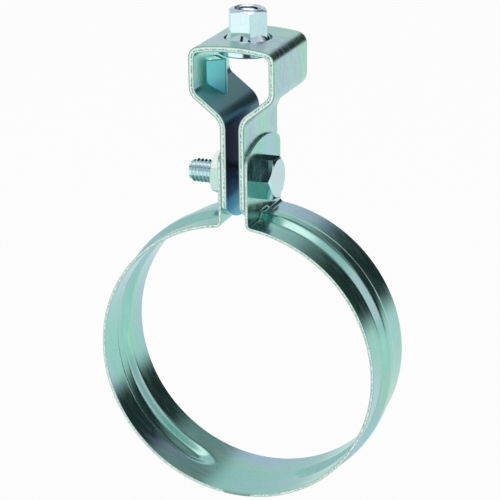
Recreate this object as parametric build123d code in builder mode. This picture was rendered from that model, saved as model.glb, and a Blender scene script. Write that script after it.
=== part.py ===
"""Clevis hanger for a steel pipe: a pressed ring band on a folded strap with a turn nut.

The ring band grips the pipe. Its two ears close on the legs of the strap, and one hexagon
bolt clamps them and is the pivot that lets the band swing. The strap hangs on the flange of
a long hexagon nut, which turns freely in it and takes the threaded rod.

Millimetres. The origin is the centre of the pipe, Y runs along the pipe and Z points up.
"""

import os
from math import acos, atan, cos, degrees, radians, sin, sqrt, tan

from build123d import *
from build123d.topology import SkipClean

os.makedirs("parts", exist_ok=True)

# Pipe and ring band
pipe_diameter = 114.3
band_thickness = 1.2
band_width = 36.5
band_bend_radius = 2.8
ear_rise = 16.7
ear_top_radius = 38.0
ear_corner_radius = 4.0
ear_hole_clearance = 0.5

# Stiffening beads pressed outwards along both sides of the ring
bead_base_width = 13.0
bead_top_width = 6.4
bead_height = 2.3
bead_edge_radius = 1.4
bead_root_ramp = 0.8
bead_foot_depth = 0.1
bead_end_angle = 17.5

# Folded strap
strap_thickness = 2.3
strap_head_width = 35.4
strap_head_rise = 56.6
strap_crown_radius = 85.0
strap_top_bend_radius = 4.5
strap_wall_bend_radius = 6.0
strap_leg_bend_radius = 6.5
strap_slope_angle = 38.0
strap_shoulder_rise = 36.4
leg_spread = 9.9
leg_drop = 15.9
leg_tip_radius = 26.5
leg_corner_radius = 2.0
leg_side_play = 0.05

# Lanced stop that keeps the turn nut from dropping out
stop_half_width = 5.5
stop_reach = 7.1
stop_skin = 1.8
stop_crest_radius = 1.2
stop_drop = 3.7

# Clamp bolt, which is also the pivot, and its nut
bolt_rise = 15.25
thread_diameter = 9.525
bolt_length = 31.0
bolt_point_chamfer = 1.0
bolt_head_height = 6.0
bolt_head_turn = -4.0
hexagon_width = 16.0
hexagon_face_share = 0.95
hexagon_chamfer_angle = 30.0
pivot_clearance = 0.08
clamp_nut_height = 8.0
clamp_nut_turn = 25.0
nut_thread_clearance = 0.05

# Turn nut for the threaded rod
turn_nut_hexagon_width = 14.2
turn_nut_rise = 11.3
turn_nut_turn = -3.0
rod_thread_bore = 8.0
rod_mouth_diameter = 10.8
collar_diameter = 18.4
collar_clearance = 0.3
collar_cone_angle = 33.0
flange_diameter = 24.0
flange_thickness = 3.1
flange_edge_chamfer = 0.5
flange_clearance = 0.05

# Sizes that follow from the ones above
pipe_radius = pipe_diameter / 2
ring_radius = pipe_radius + band_thickness
bolt_height = ring_radius + bolt_rise
strap_width = band_width
thread_radius = thread_diameter / 2
leg_outer = leg_spread / 2
ear_inner = leg_outer + leg_side_play
ear_outer = ear_inner + band_thickness
ear_top = bolt_height + ear_rise
ear_foot = sqrt(pipe_radius**2 - ear_inner**2)
strap_top = bolt_height + strap_head_rise
head_outer = strap_head_width / 2
head_inner = head_outer - strap_thickness
shoulder_height = bolt_height + strap_shoulder_rise
slope_foot = shoulder_height - (head_outer - leg_outer) * tan(radians(strap_slope_angle))
leg_tip = bolt_height - leg_drop
flange_radius = flange_diameter / 2
collar_radius = collar_diameter / 2
beyond = 4 * ring_radius


def chord_drop(radius, half_chord):
    """How far an arc of this radius falls from its middle to the end of this half chord."""
    return radius - sqrt(radius**2 - half_chord**2)


def at_height(vertices, height):
    """The vertices of a sketch or line at this height, which is their second coordinate there."""
    return vertices.filter_by(lambda vertex: abs(vertex.Y - height) < 0.01)


def hexagon_block(base, flat_width, length, turn):
    """A hexagon on this plane, with its corners turned off at the far end."""
    corner_radius = flat_width / sqrt(3)
    face_radius = hexagon_face_share * flat_width / 2
    step = (corner_radius - face_radius) * tan(radians(hexagon_chamfer_angle))
    with BuildPart() as block:
        with BuildSketch(base):
            RegularPolygon(corner_radius, 6, rotation=turn)
        extrude(amount=length)
        with BuildSketch(Plane(base.origin, x_dir=base.x_dir, z_dir=-base.y_dir)):
            with BuildLine():
                Polyline(
                    (0, 0),
                    (corner_radius, 0),
                    (corner_radius, length - step),
                    (face_radius, length),
                    (0, length),
                    close=True,
                )
            make_face()
        revolve(axis=Axis(base.origin, base.z_dir), mode=Mode.INTERSECT)
    return block.part


def bead_section(surface_radius, crest_radius, foot_width, crest_width, softened):
    """Half the cross-section of a bead, which stands on a foot just under the sheet's surface."""
    foot_radius = surface_radius - bead_foot_depth
    foot_reach = foot_width / 2 + 2 * bead_root_ramp
    with BuildSketch() as section:
        with BuildLine():
            Polyline(
                (foot_radius - bead_foot_depth, 0),
                (foot_radius - bead_foot_depth, foot_reach),
                (foot_radius, foot_reach),
                (foot_radius, foot_width / 2),
                (crest_radius, crest_width / 2),
                (crest_radius, 0),
                close=True,
            )
        make_face()
        if softened:
            chamfer(at_height(section.vertices(), foot_width / 2), bead_root_ramp)
            fillet(at_height(section.vertices(), crest_width / 2), bead_edge_radius)
    return section.sketch


def bead_bar(half_section, start_angle):
    """One bead as a bar that follows the ring down from the ear to its rounded end."""
    end_angle = bead_end_angle + degrees(bead_base_width / 2 / ring_radius) - 90
    start, end = (
        Plane(
            (0, 0, 0),
            x_dir=(cos(radians(angle)), 0, sin(radians(angle))),
            z_dir=(-sin(radians(angle)), 0, cos(radians(angle))),
        )
        for angle in (start_angle, end_angle)
    )
    with BuildPart() as bar:
        with BuildSketch(start):
            add(half_section)
            mirror(about=Plane.XZ)
        revolve(axis=Axis.Y, revolution_arc=start_angle - end_angle)
        with BuildSketch(end):
            add(half_section)
        revolve(axis=Axis((0, 0, 0), -end.x_dir), revolution_arc=180)
    return bar.part


def strap_view(hollow):
    """Front view of the strap: the folded sheet, or all that it encloses."""
    with BuildSketch(Plane.XZ) as view:
        with BuildLine() as outside:
            corner = strap_top - chord_drop(strap_crown_radius, head_outer)
            Polyline(
                (leg_outer, leg_tip),
                (leg_outer, slope_foot),
                (head_outer, shoulder_height),
                (head_outer, corner),
            )
            ThreePointArc((head_outer, corner), (0, strap_top), (-head_outer, corner))
            Polyline(
                (-head_outer, corner),
                (-head_outer, shoulder_height),
                (-leg_outer, slope_foot),
                (-leg_outer, leg_tip),
            )
            fillet(at_height(outside.vertices(), slope_foot), strap_leg_bend_radius)
            fillet(at_height(outside.vertices(), shoulder_height), strap_wall_bend_radius)
            fillet(at_height(outside.vertices(), corner), strap_top_bend_radius)
            if hollow:
                offset(amount=-strap_thickness, side=Side.LEFT)
            else:
                Line((-leg_outer, leg_tip), (leg_outer, leg_tip))
        make_face()
    return view.sketch


# Ring band with its two ears and two beads. The front half and its mirror image meet in a
# seam, so that the pipe's seat has a face on each side of the beads
bead_slope = (bead_base_width - bead_top_width) / 2 / bead_height
skin_shift = band_thickness * tan(atan(1 / bead_slope) / 2)
outer_bead = bead_bar(
    bead_section(
        ring_radius, ring_radius + bead_height, bead_base_width, bead_top_width, softened=True
    ),
    degrees(acos((ear_outer - bead_foot_depth) / (ring_radius + bead_height))),
)
inner_bead = bead_bar(
    bead_section(
        pipe_radius,
        pipe_radius + bead_height,
        bead_base_width - 2 * skin_shift,
        bead_top_width - 2 * skin_shift,
        softened=False,
    ),
    degrees(acos((ear_inner - bead_foot_depth) / (pipe_radius + bead_height))),
)

with BuildPart() as ring_band:
    with BuildSketch(Plane.XZ):
        with BuildLine() as inside:
            Line((ear_inner, ear_top), (ear_inner, ear_foot))
            ThreePointArc((ear_inner, ear_foot), (0, -pipe_radius), (-ear_inner, ear_foot))
            Line((-ear_inner, ear_foot), (-ear_inner, ear_top))
            fillet(at_height(inside.vertices(), ear_foot), band_bend_radius)
            offset(amount=band_thickness, side=Side.LEFT)
        make_face()
    extrude(amount=band_width / 2, both=True)
    add(outer_bead)
    add(mirror(outer_bead, about=Plane.YZ, mode=Mode.PRIVATE))
    add(inner_bead, mode=Mode.SUBTRACT)
    add(mirror(inner_bead, about=Plane.YZ, mode=Mode.PRIVATE), mode=Mode.SUBTRACT)
    with BuildSketch(Plane.YZ) as ear_view:
        ear_shoulder = ear_top - chord_drop(ear_top_radius, band_width / 2)
        with BuildLine():
            Polyline(
                (-band_width / 2, ear_shoulder),
                (-band_width / 2, -beyond),
                (band_width / 2, -beyond),
                (band_width / 2, ear_shoulder),
            )
            ThreePointArc((band_width / 2, ear_shoulder), (0, ear_top), (-band_width / 2, ear_shoulder))
        make_face()
        fillet(at_height(ear_view.vertices(), ear_shoulder), ear_corner_radius)
    extrude(amount=beyond, both=True, mode=Mode.INTERSECT)
    with Locations((0, 0, bolt_height)):
        Cylinder(
            thread_radius + ear_hole_clearance, 4 * ear_outer, rotation=(0, 90, 0), mode=Mode.SUBTRACT
        )
    split(bisect_by=Plane.XZ)
    back_half = mirror(ring_band.part, about=Plane.XZ, mode=Mode.PRIVATE)
    with SkipClean():
        add(back_half, clean=False)
ring_band.part.label = "ring_band"

# Stop lanced out of one wall of the strap: two flanks that meet in a crest
flank_tangent = stop_half_width / stop_reach
crest = head_inner - stop_reach
hollow_crest = crest + stop_skin / sin(atan(flank_tangent))
flange_top = (
    strap_top
    - strap_thickness
    - chord_drop(strap_crown_radius - strap_thickness, flange_radius)
    - flange_clearance
)
flange_bottom = flange_top - flange_thickness
stop_top = flange_bottom - stop_drop

with BuildPart() as stop:
    extrude(strap_view(hollow=False), amount=strap_width / 2, both=True)
    with BuildSketch(Plane.XY.offset(slope_foot)) as flanks:
        with BuildLine():
            Polyline(
                (-crest, 0),
                (-head_outer, (head_outer - crest) * flank_tangent),
                (-head_outer, -(head_outer - crest) * flank_tangent),
                close=True,
            )
        make_face()
        fillet(flanks.vertices().sort_by(Axis.X)[-1], stop_crest_radius)
    extrude(amount=stop_top - slope_foot, mode=Mode.INTERSECT)

# Folded strap
with BuildPart() as hanger_strap:
    extrude(strap_view(hollow=True), amount=strap_width / 2, both=True)
    add(stop.part)
    with BuildSketch(Plane.XY.offset(slope_foot)):
        with BuildLine():
            Polyline(
                (-hollow_crest, 0),
                (-2 * head_outer, (2 * head_outer - hollow_crest) * flank_tangent),
                (-2 * head_outer, -(2 * head_outer - hollow_crest) * flank_tangent),
                close=True,
            )
        make_face()
    extrude(amount=stop_top - slope_foot, mode=Mode.SUBTRACT)
    with BuildSketch(Plane.YZ) as leg_view:
        leg_shoulder = leg_tip + chord_drop(leg_tip_radius, strap_width / 2)
        with BuildLine():
            Polyline(
                (-strap_width / 2, leg_shoulder),
                (-strap_width / 2, beyond),
                (strap_width / 2, beyond),
                (strap_width / 2, leg_shoulder),
            )
            ThreePointArc(
                (strap_width / 2, leg_shoulder), (0, leg_tip), (-strap_width / 2, leg_shoulder)
            )
        make_face()
        fillet(at_height(leg_view.vertices(), leg_shoulder), leg_corner_radius)
    extrude(amount=beyond, both=True, mode=Mode.INTERSECT)
    with Locations((0, 0, bolt_height)):
        Cylinder(
            thread_radius + pivot_clearance, 4 * leg_outer, rotation=(0, 90, 0), mode=Mode.SUBTRACT
        )
    with Locations((0, 0, strap_top)):
        Cylinder(collar_radius + collar_clearance, 4 * strap_thickness, mode=Mode.SUBTRACT)
hanger_strap.part.label = "hanger_strap"

# Clamp bolt, with its thread as a plain shank of the thread's diameter
head_seat = Plane((ear_outer, 0, bolt_height), x_dir=(0, 1, 0), z_dir=(1, 0, 0))
head_block = hexagon_block(head_seat, hexagon_width, bolt_head_height, bolt_head_turn)

with BuildPart() as clamp_bolt:
    add(head_block)
    with BuildSketch(head_seat):
        Circle(thread_radius)
    extrude(amount=-bolt_length)
    point = clamp_bolt.faces().sort_by(Axis.X)[0]
    chamfer(point.edges(), bolt_point_chamfer)
clamp_bolt.part.label = "clamp_bolt"

# Clamp nut on the bolt's free end
nut_seat = Plane((-ear_outer, 0, bolt_height), x_dir=(0, 1, 0), z_dir=(-1, 0, 0))
nut_block = hexagon_block(nut_seat, hexagon_width, clamp_nut_height, clamp_nut_turn)

with BuildPart() as clamp_nut:
    add(nut_block)
    with BuildSketch(nut_seat):
        Circle(thread_radius + nut_thread_clearance)
    extrude(amount=clamp_nut_height, mode=Mode.SUBTRACT)
clamp_nut.part.label = "clamp_nut"

# Turn nut: long hexagon above the strap, cone and collar in its hole, flange below it
hexagon_corner = turn_nut_hexagon_width / sqrt(3)
cone_tangent = tan(radians(collar_cone_angle))
cone_top = strap_top + (hexagon_corner - turn_nut_hexagon_width / 2) / cone_tangent
cone_bottom = strap_top - (collar_radius - hexagon_corner) / cone_tangent
turn_nut_block = hexagon_block(
    Plane((0, 0, cone_bottom)),
    turn_nut_hexagon_width,
    strap_top + turn_nut_rise - cone_bottom,
    turn_nut_turn,
)

with BuildPart() as turn_nut:
    with BuildSketch(Plane.XZ) as half_view:
        with BuildLine():
            Polyline(
                (0, flange_bottom),
                (flange_radius, flange_bottom),
                (flange_radius, flange_top),
                (collar_radius, flange_top),
                (collar_radius, cone_bottom),
                (turn_nut_hexagon_width / 2, cone_top),
                (0, cone_top),
                close=True,
            )
        make_face()
        lower_edge = half_view.vertices().group_by(Axis.X)[-1].sort_by(Axis.Y)[0]
        chamfer(lower_edge, flange_edge_chamfer)
    revolve(axis=Axis.Z)
    add(turn_nut_block)
    with BuildSketch(Plane.XY.offset(flange_bottom)):
        Circle(rod_thread_bore / 2)
    extrude(amount=strap_top + turn_nut_rise - flange_bottom, mode=Mode.SUBTRACT)
    bore_mouths = turn_nut.edges().filter_by(
        lambda edge: edge.geom_type == GeomType.CIRCLE and abs(edge.radius - rod_thread_bore / 2) < 0.01
    )
    chamfer(bore_mouths, (rod_mouth_diameter - rod_thread_bore) / 2)
turn_nut.part.label = "turn_nut"

for piece in (ring_band, hanger_strap, clamp_bolt, clamp_nut, turn_nut):
    export_step(piece.part, f"parts/{piece.part.label}.step")
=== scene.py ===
"""The looks of a clevis hanger for a steel pipe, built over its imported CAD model. Metres, as in the model."""

from math import acos, atan2, cos, hypot, pi, radians, sin, sqrt, tan

import bmesh
import bpy
from mathutils import Matrix, Vector


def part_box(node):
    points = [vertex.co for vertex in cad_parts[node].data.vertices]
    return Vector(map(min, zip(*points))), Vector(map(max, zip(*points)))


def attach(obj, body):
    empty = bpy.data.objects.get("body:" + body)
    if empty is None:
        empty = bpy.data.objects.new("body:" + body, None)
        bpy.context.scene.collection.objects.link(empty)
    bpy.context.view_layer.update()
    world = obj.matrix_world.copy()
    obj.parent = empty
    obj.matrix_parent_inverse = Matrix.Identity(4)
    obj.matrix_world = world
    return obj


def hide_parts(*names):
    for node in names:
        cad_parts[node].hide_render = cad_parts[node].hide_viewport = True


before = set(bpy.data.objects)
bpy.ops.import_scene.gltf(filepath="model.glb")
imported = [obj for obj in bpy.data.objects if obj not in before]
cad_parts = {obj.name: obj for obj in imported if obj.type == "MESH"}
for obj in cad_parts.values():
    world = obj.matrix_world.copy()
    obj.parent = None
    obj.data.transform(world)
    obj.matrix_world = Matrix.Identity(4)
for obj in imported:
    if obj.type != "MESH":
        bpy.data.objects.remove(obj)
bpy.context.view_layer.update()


# Ring band: 1.2 mm steel strip, blanked, rolled round the pipe and bent out into two ears, with a
# soft bead pressed outwards along each side. Bright zinc under a thin blue-green passivation,
# which clouds to lavender and straw, covers it, and its sheared edges are paler and matt.
mm = 0.001
band_thickness = 1.2 * mm
band_width = 36.5 * mm
band_bend_radius = 2.8 * mm
pipe_radius = 57.15 * mm
ring_radius = pipe_radius + band_thickness
ear_inner = 5.0 * mm
ear_outer = ear_inner + band_thickness
ear_top_radius = 38.0 * mm
ear_corner_radius = 4.0 * mm
ear_hole_radius = 5.26 * mm
ear_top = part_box("ring_band")[1].z
bolt_low, bolt_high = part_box("clamp_bolt")
bolt_height = (bolt_low.z + bolt_high.z) / 2
bead_height = 1.85 * mm
bead_half_foot = 6.9 * mm
bead_half_crest = 1.7 * mm
bead_softness = 0.26
bead_cap_angle = radians(-61.2)
bead_cap_stretch = 0.6
band_teal = (0.34, 0.65, 0.57)
band_lavender = (0.46, 0.58, 0.74)
band_straw = (0.47, 0.68, 0.52)
sheared_zinc = (0.60, 0.76, 0.70)
# dark grey of the torn line, also used for the painted shade along the rims of cut edges
fracture_grey_and_rim_shade = (0.11, 0.20, 0.18)
sheet_roughness = 0.17
rolled_streaks = (0.45, 1.7, 0.45)
band_shift = (0.23, -0.75, -1.0)
ear_steps = 14
bend_steps = 10
ring_steps = 150
bead_rows = 15
bead_row_step = 0.5 * mm
plain_rows = [8.7 * mm, 10.4 * mm, 12.1 * mm, 13.8 * mm]
corner_rows = 8
corner_row_start = radians(26)
hole_sides = 64


def put(tree, kind, inputs=(), **settings):
    """A new node with its settings, whose inputs take the values or sockets given by name or number."""
    made = tree.nodes.new(kind)
    for name, value in settings.items():
        setattr(made, name, value)
    for name, value in dict(inputs).items():
        if isinstance(value, bpy.types.NodeSocket):
            tree.links.new(value, made.inputs[name])
        elif made.inputs[name].type == "RGBA":
            made.inputs[name].default_value = (*value, 1)
        else:
            made.inputs[name].default_value = value
    return made


def sums(tree, operation, *values):
    """The result of a Math node."""
    return put(tree, "ShaderNodeMath", enumerate(values), operation=operation).outputs[0]


def ramp(tree, value, start, end, low=0.0, high=1.0):
    """A value that runs smoothly from low to high while the other goes from start to end."""
    sockets = {"Value": value, "From Min": start, "From Max": end, "To Min": low, "To Max": high}
    return put(tree, "ShaderNodeMapRange", sockets, interpolation_type="SMOOTHSTEP").outputs["Result"]


def blend_colours(tree, factor, first, second):
    """Two colours mixed by a factor."""
    return put(tree, "ShaderNodeMix", {0: factor, 6: first, 7: second}, data_type="RGBA").outputs[2]


def both(tree, first, second):
    """The length of a step that goes this far one way and that far across it."""
    step = put(tree, "ShaderNodeCombineXYZ", {0: first, 1: second}).outputs[0]
    return put(tree, "ShaderNodeVectorMath", {0: step}, operation="LENGTH").outputs["Value"]


def from_bend_axis(tree, first, second, turn):
    """Distance from a bend's axis, given how far it is along the normals of two faces, a turn apart."""
    reaches = []
    for along, other in ((first, second), (second, first)):
        shared = sums(tree, "MULTIPLY", along, cos(turn))
        aside = sums(tree, "DIVIDE", sums(tree, "SUBTRACT", other, shared), sin(turn))
        steps = [sums(tree, "MAXIMUM", step, 0.0) for step in (along, aside)]
        reaches.append(both(tree, *steps))
    return sums(tree, "MINIMUM", *reaches)


def inside_both(tree, first, second, radius, turn):
    """Depth into an outer bend, which two faces with normals a turn apart make with this radius."""
    short = [sums(tree, "SUBTRACT", radius, depth) for depth in (first, second)]
    return sums(tree, "SUBTRACT", radius, from_bend_axis(tree, *short, turn))


def inside_either(tree, first, second, radius, turn):
    """Depth into an inner bend, which two faces with normals a turn apart make with this radius."""
    past = [sums(tree, "ADD", radius, depth) for depth in (first, second)]
    return sums(tree, "SUBTRACT", from_bend_axis(tree, *past, turn), radius)


def new_group(name, inputs, outputs):
    """An empty node group with these sockets, and its two end nodes."""
    group = bpy.data.node_groups.new(name, "ShaderNodeTree")
    for socket, kind in inputs.items():
        group.interface.new_socket(socket, in_out="INPUT", socket_type=kind)
    for socket, kind in outputs.items():
        group.interface.new_socket(socket, in_out="OUTPUT", socket_type=kind)
    return group, group.nodes.new("NodeGroupInput"), group.nodes.new("NodeGroupOutput")


def make_passivation():
    """Clouds of two other tints over the zinc, with a fine mottle in its gloss and its surface."""
    inputs = {
        "Vector": "NodeSocketVector",
        "Tint": "NodeSocketColor",
        "Cool Tint": "NodeSocketColor",
        "Warm Tint": "NodeSocketColor",
        "Roughness": "NodeSocketFloat",
        "Relief": "NodeSocketFloat",
    }
    outputs = {"Color": "NodeSocketColor", "Roughness": "NodeSocketFloat", "Normal": "NodeSocketVector"}
    group, given, result = new_group("passivated zinc", inputs, outputs)
    place = given.outputs["Vector"]

    def noise(scale, detail, distortion=0.0):
        inputs = {"Vector": place, "Scale": scale, "Detail": detail, "Distortion": distortion}
        return put(group, "ShaderNodeTexNoise", inputs).outputs[0]

    cool = ramp(group, noise(27.0, 3.0, 0.9), 0.48, 0.68, 0.0, 0.75)
    warm = ramp(group, noise(44.0, 2.0, 0.5), 0.54, 0.74, 0.0, 0.5)
    peel = noise(300.0, 3.0)
    tint = blend_colours(group, cool, given.outputs["Tint"], given.outputs["Cool Tint"])
    tint = blend_colours(group, warm, tint, given.outputs["Warm Tint"])
    fleck = ramp(group, noise(1700.0, 2.0), 0.3, 0.7, 0.95, 1.04)
    shade = put(group, "ShaderNodeVectorMath", {0: tint, "Scale": fleck}, operation="SCALE")
    group.links.new(shade.outputs[0], result.inputs["Color"])
    gloss = sums(group, "MULTIPLY", given.outputs["Roughness"], ramp(group, peel, 0.3, 0.7, 0.75, 1.35))
    group.links.new(gloss, result.inputs["Roughness"])
    relief = {"Height": peel, "Strength": given.outputs["Relief"], "Distance": 0.1 * mm}
    group.links.new(put(group, "ShaderNodeBump", relief).outputs[0], result.inputs["Normal"])
    return group


def make_sheared_edge():
    """The cut side of sheet: burnished near one face, then torn along a dark broken line, then matt, and
    darkened along both rims with painted shade.
    """
    inputs = {"Vector": "NodeSocketVector", "Depth": "NodeSocketFloat"}
    outputs = {"Color": "NodeSocketColor", "Roughness": "NodeSocketFloat"}
    group, given, result = new_group("sheared edge", inputs, outputs)
    grit_inputs = {"Vector": given.outputs["Vector"], "Scale": 1500.0, "Detail": 2.0}
    grit = put(group, "ShaderNodeTexNoise", grit_inputs).outputs[0]
    line = sums(group, "MULTIPLY_ADD", grit, 0.5, given.outputs["Depth"])
    torn = sums(group, "MULTIPLY", ramp(group, line, 0.68, 0.80), ramp(group, line, 0.92, 1.06, 1.0, 0.0))
    torn = sums(group, "MULTIPLY", torn, ramp(group, grit, 0.42, 0.56, 0.3, 1.0))
    # painted shade: a dark line along both rims of the cut side, where the faces meet it
    painted_rim_shade = sums(
        group,
        "MAXIMUM",
        ramp(group, given.outputs["Depth"], 0.08, 0.26, 1.0, 0.0),
        ramp(group, given.outputs["Depth"], 0.80, 0.93, 0.0, 1.0),
    )
    fracture_and_rim_shade = sums(group, "MULTIPLY", sums(group, "MAXIMUM", torn, painted_rim_shade), 0.8)
    group.links.new(blend_colours(group, fracture_and_rim_shade, sheared_zinc, fracture_grey_and_rim_shade), result.inputs["Color"])
    group.links.new(ramp(group, grit, 0.3, 0.7, 0.28, 0.42), result.inputs["Roughness"])
    return group


passivation = make_passivation()
sheared_edge = make_sheared_edge()


def bright_zinc(name, tint, cool, warm, roughness, relief, streaks=(1.0, 1.0, 1.0), shift=(0.0, 0.0, 0.0)):
    """Zinc as a mirror-like metal under its passivation, with the nodes that later steps build on."""
    material = bpy.data.materials.new(name)
    material.use_nodes = True
    tree = material.node_tree
    surface = tree.nodes["Principled BSDF"]
    surface.inputs["Metallic"].default_value = 1
    place = put(tree, "ShaderNodeTexCoord").outputs["Object"]
    drawn_out = put(tree, "ShaderNodeVectorMath", {0: place, 1: streaks, 2: shift}, operation="MULTIPLY_ADD")
    inputs = {
        "Vector": drawn_out.outputs[0],
        "Tint": tint,
        "Cool Tint": cool,
        "Warm Tint": warm,
        "Roughness": roughness,
        "Relief": relief,
    }
    zinc = put(tree, "ShaderNodeGroup", inputs, node_tree=passivation)
    tree.links.new(zinc.outputs["Color"], surface.inputs["Base Color"])
    tree.links.new(zinc.outputs["Roughness"], surface.inputs["Roughness"])
    tree.links.new(zinc.outputs["Normal"], surface.inputs["Normal"])
    return material, tree, place, surface


def band_edge():
    """The sheared edge of the band, whose depth starts at the outside of the ring and of the ears."""
    material, tree, place, surface = bright_zinc(
        "sheared band edge", band_teal, band_lavender, band_straw, sheet_roughness, 0.12
    )
    axes = put(tree, "ShaderNodeSeparateXYZ", {0: place}).outputs
    in_ring = sums(tree, "SUBTRACT", ring_radius, both(tree, axes["X"], axes["Z"]))
    in_ear = sums(tree, "SUBTRACT", ear_outer, sums(tree, "ABSOLUTE", axes["X"]))
    outer_bend_radius = band_bend_radius - band_thickness
    turn = acos((ear_outer + outer_bend_radius) / (ring_radius + outer_bend_radius))
    depth = inside_either(tree, in_ring, in_ear, outer_bend_radius, turn)
    inputs = {"Vector": place, "Depth": sums(tree, "DIVIDE", depth, band_thickness)}
    edge = put(tree, "ShaderNodeGroup", inputs, node_tree=sheared_edge)
    tree.links.new(edge.outputs["Color"], surface.inputs["Base Color"])
    tree.links.new(edge.outputs["Roughness"], surface.inputs["Roughness"])
    return material


def new_piece(name, mesh_maker, *materials):
    """A smooth-shaded object at the origin with the mesh made so far and these materials."""
    mesh = bpy.data.meshes.new(name)
    mesh_maker.to_mesh(mesh)
    mesh_maker.free()
    mesh.shade_smooth()
    for material in materials:
        mesh.materials.append(material)
    piece = bpy.data.objects.new(name, mesh)
    bpy.context.scene.collection.objects.link(piece)
    return piece


def round_edges(piece, width):
    """The rounded edges that pressing, tumbling and plating leave."""
    edges = piece.modifiers.new("edges", "BEVEL")
    edges.width = width
    edges.segments = 2
    edges.limit_method = "ANGLE"
    edges.angle_limit = radians(28)
    shading = piece.modifiers.new("shading", "WEIGHTED_NORMAL")
    shading.weight = 50


def bead_swell(across, beyond):
    """How far the bead lifts the sheet at a place across the band and this far beyond the bead's end."""
    part = (bead_half_foot - hypot(across, beyond * bead_cap_stretch)) / (bead_half_foot - bead_half_crest)
    part = min(max(part, 0), 1)
    nearer_end = min(part, 1 - part)
    rise = nearer_end - bead_softness / 2
    if nearer_end < bead_softness:
        rise = nearer_end**2 / (2 * bead_softness)
    share = rise / (1 - bead_softness)
    return bead_height * (share if part < 0.5 else 1 - share)


def ear_outline(across):
    """Height of the ear's top edge: a wide arc that ends in two rounded corners."""
    arc_centre = ear_top - ear_top_radius
    corner_across = band_width / 2 - ear_corner_radius
    corner_reach = ear_top_radius - ear_corner_radius
    corner_height = arc_centre + sqrt(corner_reach**2 - corner_across**2)
    if across < corner_across * ear_top_radius / corner_reach:
        return arc_centre + sqrt(ear_top_radius**2 - across**2)
    return corner_height + sqrt(max(ear_corner_radius**2 - (across - corner_across) ** 2, 0))


def band_row(across):
    """Inner line of one side of the band at a place across it: down the ear and down the ring."""
    top = ear_outline(across)
    bend_across = ear_inner + band_bend_radius
    bend_reach = pipe_radius + bead_swell(across, 0) + band_bend_radius
    bend_height = sqrt(bend_reach**2 - bend_across**2)
    start = atan2(bend_height, bend_across)
    row = [(ear_inner, top + (bend_height - top) * step / ear_steps) for step in range(ear_steps)]
    for step in range(bend_steps):
        angle = pi + start * step / bend_steps
        row.append((bend_across + band_bend_radius * cos(angle), bend_height + band_bend_radius * sin(angle)))
    for step in range(ring_steps + 1):
        angle = start - (start + pi / 2) * step / ring_steps
        beyond = max(bead_cap_angle - angle, 0) * pipe_radius
        reach = pipe_radius + bead_swell(across, beyond)
        row.append((reach * cos(angle), reach * sin(angle)))
    return row


sheet_zinc = bright_zinc(
    "bright zinc on band",
    band_teal,
    band_lavender,
    band_straw,
    sheet_roughness,
    0.03,
    rolled_streaks,
    band_shift,
)[0]
half_rows = [bead_row_step * step for step in range(bead_rows)] + plain_rows
corner_across = band_width / 2 - ear_corner_radius
for step in range(corner_rows):
    turn = corner_row_start + (pi / 2 - corner_row_start) * step / (corner_rows - 1)
    half_rows.append(corner_across + ear_corner_radius * sin(turn))
band_rows = [-place for place in reversed(half_rows[1:])] + half_rows
band_lines = []
for across in band_rows:
    right_side = band_row(abs(across))
    band_lines.append(right_side + [(-x, z) for x, z in reversed(right_side[:-1])])
last_row = len(band_rows) - 1
last_step = len(band_lines[0]) - 1
bm = bmesh.new()
bmesh.ops.create_grid(bm, x_segments=last_step, y_segments=last_row, size=1)
for vert in bm.verts:
    row = round((vert.co.y + 1) / 2 * last_row)
    x, z = band_lines[row][round((vert.co.x + 1) / 2 * last_step)]
    vert.co = (x, band_rows[row], z)
pressed_band = new_piece("pressed_band", bm, sheet_zinc, band_edge())
sheet = pressed_band.modifiers.new("sheet", "SOLIDIFY")
sheet.thickness = band_thickness
sheet.offset = 1
sheet.use_even_offset = True
sheet.material_offset_rim = 1

bm = bmesh.new()
bmesh.ops.create_cone(
    bm,
    cap_ends=True,
    segments=hole_sides,
    radius1=ear_hole_radius,
    radius2=ear_hole_radius,
    depth=4 * ear_outer,
    matrix=Matrix.Translation((0, 0, bolt_height)) @ Matrix.Rotation(pi / 2, 4, "Y"),
)
punch = new_piece("punch", bm)
holes = pressed_band.modifiers.new("holes", "BOOLEAN")
holes.object = punch
punched = pressed_band.evaluated_get(bpy.context.evaluated_depsgraph_get())
pressed_band.data = bpy.data.meshes.new_from_object(punched)
pressed_band.modifiers.clear()
bpy.data.objects.remove(punch)
round_edges(pressed_band, 0.18 * mm)
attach(pressed_band, "band")
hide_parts("ring_band")


# Hanger strap: 2.3 mm steel strip folded to a head with a crowned top, two sloping shoulders and
# two parallel legs, with a stop lanced inwards from one wall. Inside the fold the zinc is tinted
# bluer low in the head and paler higher up, and painted shade darkens it between the legs.
strap_thickness = 2.3 * mm
strap_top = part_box("hanger_strap")[1].z
strap_half_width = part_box("hanger_strap")[1].y
head_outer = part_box("hanger_strap")[1].x
strap_crown_radius = 85.0 * mm
strap_top_bend_radius = 4.5 * mm
strap_wall_bend_radius = 6.0 * mm
strap_leg_bend_radius = 6.5 * mm
leg_outer = 4.95 * mm
slope_foot = 100.04 * mm
slope_angle = radians(38)
strap_teal = (0.43, 0.72, 0.59)
strap_lavender = (0.48, 0.58, 0.70)
strap_straw = (0.50, 0.72, 0.50)
inner_teal = (0.50, 0.88, 0.80)
inner_blue = (0.33, 0.64, 0.67)
# painted shade between the legs: navy higher up, bluer toward the tips
gap_shade_navy = (0.025, 0.06, 0.16)
gap_shade_blue = (0.12, 0.44, 0.61)
strap_shift = (0.30, 0.80, -0.77)
strap_roughness = 0.25
inner_roughness = 0.30
gap_shade_end = (slope_foot - 5 * mm, slope_foot + 6 * mm)
tips_end = (67 * mm, 70.5 * mm)
head_start = (slope_foot + 8 * mm, slope_foot + 15 * mm)
strap_edge_width = 0.16 * mm
strap_edge_fade = 0.06 * mm


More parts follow.
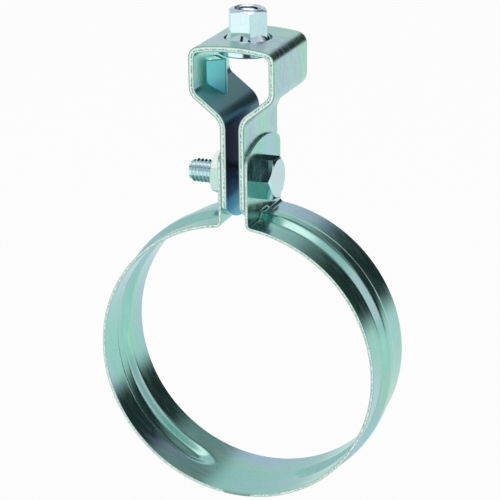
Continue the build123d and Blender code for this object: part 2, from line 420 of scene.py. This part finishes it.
def strap_metal():
    """Bright zinc with the strap's bluer inside, painted shade between its legs, and its sheared front and back
    edges.
    """
    material, tree, place, surface = bright_zinc(
        "bright zinc on strap",
        strap_teal,
        strap_lavender,
        strap_straw,
        strap_roughness,
        0.02,
        rolled_streaks,
        strap_shift,
    )
    axes = put(tree, "ShaderNodeSeparateXYZ", {0: place}).outputs
    across = sums(tree, "ABSOLUTE", axes["X"])
    crown_reach = both(tree, across, sums(tree, "SUBTRACT", axes["Z"], strap_top - strap_crown_radius))
    below_top = sums(tree, "SUBTRACT", strap_crown_radius, crown_reach)
    in_wall = sums(tree, "SUBTRACT", head_outer, across)
    in_leg = sums(tree, "SUBTRACT", leg_outer, across)
    rise = sums(tree, "MULTIPLY", sums(tree, "SUBTRACT", axes["Z"], slope_foot), cos(slope_angle))
    run = sums(tree, "MULTIPLY", in_leg, sin(slope_angle))
    in_slope = sums(tree, "ADD", rise, run)
    slope_turn = pi / 2 - slope_angle
    top_turn = acos((head_outer - strap_top_bend_radius) / (strap_crown_radius - strap_top_bend_radius))
    depth = inside_either(tree, in_leg, in_slope, strap_leg_bend_radius, slope_turn)
    depth = inside_both(tree, depth, in_wall, strap_wall_bend_radius, slope_turn)
    depth = inside_both(tree, depth, below_top, strap_top_bend_radius, top_turn)
    depth = sums(tree, "DIVIDE", depth, strap_thickness)

    skin = surface.inputs["Base Color"].links[0].from_socket
    gloss = surface.inputs["Roughness"].links[0].from_socket
    inside = ramp(tree, depth, 0.80, 0.98)
    # painted shade between the legs, navy above the tips and bluer near them
    shade_between_legs = ramp(tree, axes["Z"], *gap_shade_end, 1.0, 0.0)
    near_tips = ramp(tree, axes["Z"], *tips_end, 1.0, 0.0)
    gap_shade_tint = blend_colours(tree, near_tips, gap_shade_navy, gap_shade_blue)
    in_head = ramp(tree, axes["Z"], *head_start)
    inside_tint = blend_colours(tree, in_head, inner_blue, inner_teal)
    inside_tint = blend_colours(tree, shade_between_legs, inside_tint, gap_shade_tint)
    skin = blend_colours(tree, inside, skin, inside_tint)
    gloss = put(tree, "ShaderNodeMix", {0: inside, 2: gloss, 3: inner_roughness}).outputs[0]
    side = sums(tree, "ABSOLUTE", axes["Y"])
    edge = put(tree, "ShaderNodeGroup", {"Vector": place, "Depth": depth}, node_tree=sheared_edge)
    cut = ramp(tree, side, strap_half_width - strap_edge_width, strap_half_width - strap_edge_fade)
    colour = blend_colours(tree, cut, skin, edge.outputs["Color"])
    rough = put(tree, "ShaderNodeMix", {0: cut, 2: gloss, 3: edge.outputs["Roughness"]}).outputs[0]
    tree.links.new(colour, surface.inputs["Base Color"])
    tree.links.new(rough, surface.inputs["Roughness"])
    return material


def dress(node, material, width):
    """Gives a CAD node its material and rounds its edges."""
    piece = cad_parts[node]
    piece.data.materials.clear()
    piece.data.materials.append(material)
    piece.modifiers.new("weld", "WELD").merge_threshold = 0.001 * mm
    flats = piece.modifiers.new("flats", "DECIMATE")
    flats.decimate_type = "DISSOLVE"
    flats.angle_limit = radians(0.5)
    round_edges(piece, width)


dress("hanger_strap", strap_metal(), strap_edge_width)


# Clamp bolt: cold-headed hexagon with its corners turned off, a plain neck that the band swings
# on, and a rolled 16 threads per inch up to the chamfered point. Barrel plating leaves the
# fasteners paler than the sheet.
thread_pitch = 25.4 / 16 * mm
thread_radius = 4.7625 * mm
thread_core_radius = 3.85 * mm
head_seat = ear_outer
head_end = bolt_high.x
bolt_point = bolt_low.x
hexagon_width = 16.0 * mm
hexagon_face_share = 0.95
bolt_head_turn = radians(-4)
neck_radius = 4.70 * mm
neck_end = -3.4 * mm
bar_sides = 72
thread_steps = 48
thread_foot = thread_pitch * 15 / 32
thread_land = thread_pitch / 16
thread_fade = thread_pitch / 2
thread_least = 0.1
point_chamfer = 0.2 * mm
core_sink = 0.1 * mm
barrel_zinc = (0.60, 0.76, 0.78)
barrel_cool = (0.56, 0.68, 0.75)
barrel_warm = (0.62, 0.76, 0.66)
fastener_zinc = bright_zinc("barrel zinc", barrel_zinc, barrel_cool, barrel_warm, 0.06, 0.01)[0]


def round_section(radius, height):
    """A round section of a bar, as a radius and a height for every angle."""
    return lambda angle: (radius, height)


def hexagon_section(width, height, slope=0.0, from_radius=0.0):
    """A hexagon section with a corner at angle 0, which drops away with a slope from a radius."""

    def section(angle):
        reach = width / 2 / cos(angle % (pi / 3) - pi / 6)
        return reach, height - (reach - from_radius) * slope

    return section


def shape_bar(bm, sections, turn, solid):
    """A bar in rings, each of them moved out to its section and turned, with its ends closed if solid."""
    length = len(sections) - 1
    bmesh.ops.create_cone(bm, cap_ends=solid, segments=bar_sides, radius1=1, radius2=1, depth=length)
    lengthwise = [edge for edge in bm.edges if edge.verts[0].co.z * edge.verts[1].co.z < 0]
    bmesh.ops.subdivide_edges(bm, edges=lengthwise, cuts=length - 1)
    for vert in bm.verts:
        angle = atan2(vert.co.y, vert.co.x)
        radius, height = sections[round(vert.co.z + length / 2)](angle)
        vert.co = (radius * cos(angle + turn), radius * sin(angle + turn), height)


def wind_thread(bm, start, end, root_radius, crest_radius, trim):
    """A right-hand ridge from start to end, which fades in and out and is trimmed to the bar's ends."""
    turns = (end - start) / thread_pitch
    steps = round(turns * thread_steps)
    profile = (
        (root_radius, -thread_foot),
        (crest_radius, -thread_land),
        (crest_radius, thread_land),
        (root_radius, thread_foot),
    )
    bar = set(bm.verts)
    ridge = bm.faces.new([bm.verts.new((radius, 0, start + shift)) for radius, shift in profile])
    bmesh.ops.spin(
        bm,
        geom=[ridge, *ridge.edges, *ridge.verts],
        axis=(0, 0, 1),
        dvec=(0, 0, (end - start) / steps),
        angle=2 * pi * turns,
        steps=steps,
    )
    for vert in set(bm.verts) - bar:
        radius = vert.co.xy.length
        fade = min(vert.co.z - start, end - vert.co.z) / thread_fade
        grown = root_radius + (radius - root_radius) * min(max(fade, thread_least), 1)
        vert.co.xy *= trim(grown, vert.co.z) / radius


face_radius = hexagon_face_share * hexagon_width / 2
corner_slope = tan(radians(30))
bm = bmesh.new()
shape_bar(
    bm,
    [
        round_section(face_radius, head_end),
        hexagon_section(hexagon_width, head_end, corner_slope, face_radius),
        hexagon_section(hexagon_width, head_seat),
        round_section(neck_radius, head_seat),
        round_section(neck_radius, neck_end),
        round_section(thread_core_radius, neck_end - neck_radius + thread_core_radius),
        round_section(thread_core_radius, bolt_point + point_chamfer),
        round_section(thread_core_radius - point_chamfer, bolt_point),
    ],
    bolt_head_turn,
    solid=True,
)
wind_thread(
    bm,
    bolt_point + thread_pitch / 2,
    neck_end - thread_pitch / 2,
    thread_core_radius - core_sink,
    thread_radius,
    lambda radius, height: min(radius, thread_core_radius + core_sink + height - bolt_point),
)
along_bolt = Matrix(((0, 0, 1, 0), (1, 0, 0, 0), (0, 1, 0, bolt_height), (0, 0, 0, 1)))
bmesh.ops.transform(bm, matrix=along_bolt, verts=bm.verts)
bmesh.ops.recalc_face_normals(bm, faces=bm.faces)
threaded_bolt = new_piece("threaded_bolt", bm, fastener_zinc)
round_edges(threaded_bolt, 0.12 * mm)
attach(threaded_bolt, "band")
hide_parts("clamp_bolt")


# Clamp nut: a plain hexagon nut, hot-forged and tapped, screwed up against the ear. It is plated
# with the bolt; its zinc is a greener, rougher copy, darkened as painted shade on its flats.
# painted shade: the bolt's zinc made darker and greener for the nut's flats
shaded_nut_zinc = (0.44, 0.61, 0.56)
shaded_nut_cool = (0.42, 0.55, 0.56)
shaded_nut_warm = (0.46, 0.60, 0.50)
dress("clamp_nut", bright_zinc("clamp nut zinc with painted shade", shaded_nut_zinc, shaded_nut_cool, shaded_nut_warm, 0.10, 0.01)[0], 0.2 * mm)


# Turn nut: a long hexagon turned from bar, with a cone and a collar that centre it in the strap's
# hole, a flange that carries the strap, and a countersunk thread for the rod right through it.
nut_low, nut_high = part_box("turn_nut")
turn_nut_width = 14.2 * mm
turn_nut_turn = radians(-3)
flange_radius = nut_high.x
flange_top = 126.975 * mm
flange_edge = 0.5 * mm
collar_radius = 9.2 * mm
cone_slope = tan(radians(33))
mouth_radius = 5.4 * mm
rod_root_radius = 4.80 * mm
rod_crest_radius = 4.0 * mm
top_round = 0.7 * mm
hexagon_corner = turn_nut_width / sqrt(3)
cone_bottom = strap_top - (collar_radius - hexagon_corner) / cone_slope
face_radius = hexagon_face_share * turn_nut_width / 2
mouth_depth = mouth_radius - rod_root_radius
bm = bmesh.new()
shape_bar(
    bm,
    [
        round_section(mouth_radius, nut_low.z),
        round_section(flange_radius - flange_edge, nut_low.z),
        round_section(flange_radius, nut_low.z + flange_edge),
        round_section(flange_radius, flange_top),
        round_section(collar_radius, flange_top),
        round_section(collar_radius, cone_bottom),
        hexagon_section(turn_nut_width, cone_bottom, 1 / cone_slope, collar_radius),
        hexagon_section(turn_nut_width, nut_high.z - top_round / 2, corner_slope, face_radius),
        round_section(face_radius, nut_high.z - top_round / 2),
        round_section(face_radius - top_round, nut_high.z),
        round_section(mouth_radius, nut_high.z),
        round_section(rod_root_radius, nut_high.z - mouth_depth),
        round_section(rod_root_radius, nut_low.z + mouth_depth),
        round_section(mouth_radius, nut_low.z),
    ],
    turn_nut_turn,
    solid=False,
)
bmesh.ops.remove_doubles(bm, verts=bm.verts, dist=0.001 * mm)
wind_thread(
    bm,
    nut_low.z + thread_pitch / 2,
    nut_high.z - thread_pitch / 2,
    rod_root_radius + core_sink,
    rod_crest_radius,
    lambda radius, height: max(radius, mouth_radius + max(nut_low.z - height, height - nut_high.z)),
)
bmesh.ops.recalc_face_normals(bm, faces=bm.faces)
threaded_nut = new_piece("threaded_nut", bm, fastener_zinc)
round_edges(threaded_nut, 0.15 * mm)
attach(threaded_nut, "nut")
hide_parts("turn_nut")


# Studio: a white backdrop and a pale floor, with the tones that the bright metal shows: a dark
# doorway behind it to the right, soft light from above and from the right, and a plain wall.
floor_drop = 0.32
floor_size = 6.0
wall_tone = (0.70, 0.76, 0.80)
floor_tone = (0.80, 0.90, 0.89)
doorway_tone = (0.022, 0.032, 0.032)
floor_glow_share = 0.92


def make_card():
    """A soft-edged patch of the surroundings, as a mask over azimuth and elevation in radians."""
    names = ("Azimuth", "Elevation", "Left", "Right", "Bottom", "Top", "Softness")
    inputs = {name: "NodeSocketFloat" for name in names}
    group, given, result = new_group("studio card", inputs, {"Mask": "NodeSocketFloat"})
    half = sums(group, "MULTIPLY", given.outputs["Softness"], 0.5)
    falls = []
    for axis, low, high in (("Azimuth", "Left", "Right"), ("Elevation", "Bottom", "Top")):
        width = sums(group, "SUBTRACT", given.outputs[high], given.outputs[low])
        if axis == "Azimuth":
            width = sums(group, "WRAP", width, 2 * pi, 0.0)
        middle = sums(group, "MULTIPLY_ADD", width, 0.5, given.outputs[low])
        away = sums(group, "SUBTRACT", given.outputs[axis], middle)
        if axis == "Azimuth":
            away = sums(group, "WRAP", away, pi, -pi)
        beyond = sums(group, "MULTIPLY_ADD", width, -0.5, sums(group, "ABSOLUTE", away))
        falls.append(ramp(group, beyond, sums(group, "MULTIPLY", half, -1.0), half, 1.0, 0.0))
    group.links.new(sums(group, "MULTIPLY", *falls), result.inputs["Mask"])
    return group


world = bpy.data.worlds.new("studio")
bpy.context.scene.world = world
world.use_nodes = True
tree = world.node_tree
tree.nodes.clear()
direction = put(tree, "ShaderNodeSeparateXYZ", {0: put(tree, "ShaderNodeTexCoord").outputs["Generated"]})
azimuth = sums(tree, "ARCTAN2", direction.outputs["X"], direction.outputs["Y"])
elevation = sums(tree, "ARCSINE", direction.outputs["Z"])
card = make_card()
surroundings = blend_colours(tree, ramp(tree, elevation, radians(-7), radians(1)), floor_tone, wall_tone)
for tone, left, right, bottom, top, softness in (
    (doorway_tone, 3, 60, -3, 28, 11),
    ((0.20, 0.22, 0.23), -8, 60, 30, 54, 12),
    ((0.015, 0.03, 0.04), 140, 161, 37, 64, 3),
    ((0.015, 0.03, 0.04), -165, -146, 37, 64, 3),
    ((0.90, 1.05, 1.00), 72, 98, -40, 0, 12),
    ((0.30, 0.66, 0.78), 104, 150, -100, 12, 14),
    ((0.05, 0.09, 0.10), 150, 178, -60, 10, 8),
    ((1.8, 1.45, 1.5), -180, 179, 64, 100, 8),
    ((1.10, 0.84, 0.98), 65, 96, 4, 40, 8),
    ((1.28, 1.30, 1.28), -178, -120, -45, 4, 14),
):
    sockets = {"Azimuth": azimuth, "Elevation": elevation, "Softness": radians(softness)}
    sides = {"Left": left, "Right": right, "Bottom": bottom, "Top": top}
    sockets.update({name: radians(angle) for name, angle in sides.items()})
    mask = put(tree, "ShaderNodeGroup", sockets, node_tree=card)
    surroundings = blend_colours(tree, mask.outputs["Mask"], surroundings, tone)
seen = put(tree, "ShaderNodeBackground", {"Color": surroundings, "Strength": 1.0})
plain = put(tree, "ShaderNodeBackground", {"Color": (1.0, 1.0, 1.0), "Strength": 1.0})
soft = put(tree, "ShaderNodeBackground", {"Color": (1.0, 1.0, 1.0), "Strength": 0.75})
ray = put(tree, "ShaderNodeLightPath")
shiny = sums(tree, "MAXIMUM", ray.outputs["Is Glossy Ray"], ray.outputs["Is Transmission Ray"])
lit = put(tree, "ShaderNodeMixShader", {0: shiny, 1: soft.outputs[0], 2: seen.outputs[0]})
ends = {0: ray.outputs["Is Camera Ray"], 1: lit.outputs[0], 2: plain.outputs[0]}
backdrop = put(tree, "ShaderNodeMixShader", ends)
put(tree, "ShaderNodeOutputWorld", {"Surface": backdrop.outputs[0]})

bm = bmesh.new()
bmesh.ops.create_grid(
    bm, x_segments=2, y_segments=2, size=floor_size / 2, matrix=Matrix.Translation((0, 0, -floor_drop))
)
floor_paint = bpy.data.materials.new("white floor")
floor_paint.use_nodes = True
tree = floor_paint.node_tree
matt = tree.nodes["Principled BSDF"]
matt.inputs["Base Color"].default_value = (0.85, 0.85, 0.85, 1)
matt.inputs["Roughness"].default_value = 0.9
matt.inputs["Specular IOR Level"].default_value = 0.1
glow = put(tree, "ShaderNodeEmission", {"Color": (1.0, 1.0, 1.0), "Strength": 1.0})
ray = put(tree, "ShaderNodeLightPath")
share = sums(tree, "MULTIPLY", ray.outputs["Is Camera Ray"], floor_glow_share)
shown = put(tree, "ShaderNodeMixShader", {0: share, 1: matt.outputs[0], 2: glow.outputs[0]})
tree.links.new(shown.outputs[0], tree.nodes["Material Output"].inputs["Surface"])
floor = new_piece("floor", bm, floor_paint)
floor.visible_glossy = False

lamp_data = bpy.data.lights.new("soft lamp", "AREA")
lamp_data.shape = "RECTANGLE"
lamp_data.size = 0.9
lamp_data.size_y = 0.6
lamp_data.energy = 5
lamp = bpy.data.objects.new("soft lamp", lamp_data)
bpy.context.scene.collection.objects.link(lamp)
lamp.visible_glossy = False
lamp.location = (-0.55, -0.75, 0.95)
lamp.rotation_mode = "QUATERNION"
lamp.rotation_quaternion = Vector((0.55, 0.75, -0.90)).to_track_quat("-Z", "Y")


# Camera: above the hanger and to its right, as far off as the photograph's small perspective says.
camera_azimuth = radians(21.556)
camera_elevation = radians(19.493)
camera_roll = radians(-0.663)
camera_distance = 0.88109
focal_pixels = 2159.2
frame_pixels = 500
sensor_width = 36
ring_centre_pixels = (1.64, 97.26)

back = Vector(
    (
        sin(camera_azimuth) * cos(camera_elevation),
        -cos(camera_azimuth) * cos(camera_elevation),
        sin(camera_elevation),
    )
)
level = Vector((cos(camera_azimuth), sin(camera_azimuth), 0))
upright = back.cross(level)
right = level * cos(camera_roll) + upright * sin(camera_roll)
up = upright * cos(camera_roll) - level * sin(camera_roll)
pixel = camera_distance / focal_pixels
camera_data = bpy.data.cameras.new("camera")
camera_data.sensor_width = sensor_width
camera_data.lens = sensor_width * focal_pixels / frame_pixels
camera = bpy.data.objects.new("camera", camera_data)
bpy.context.scene.collection.objects.link(camera)
camera.rotation_mode = "QUATERNION"
camera.rotation_quaternion = Matrix((right, up, back)).transposed().to_quaternion()
aside, above = ring_centre_pixels
camera.location = back * camera_distance - right * aside * pixel + up * above * pixel
camera_data.clip_start = 0.01
camera_data.clip_end = 50
bpy.context.scene.camera = camera
bpy.context.scene.view_settings.view_transform = "Standard"
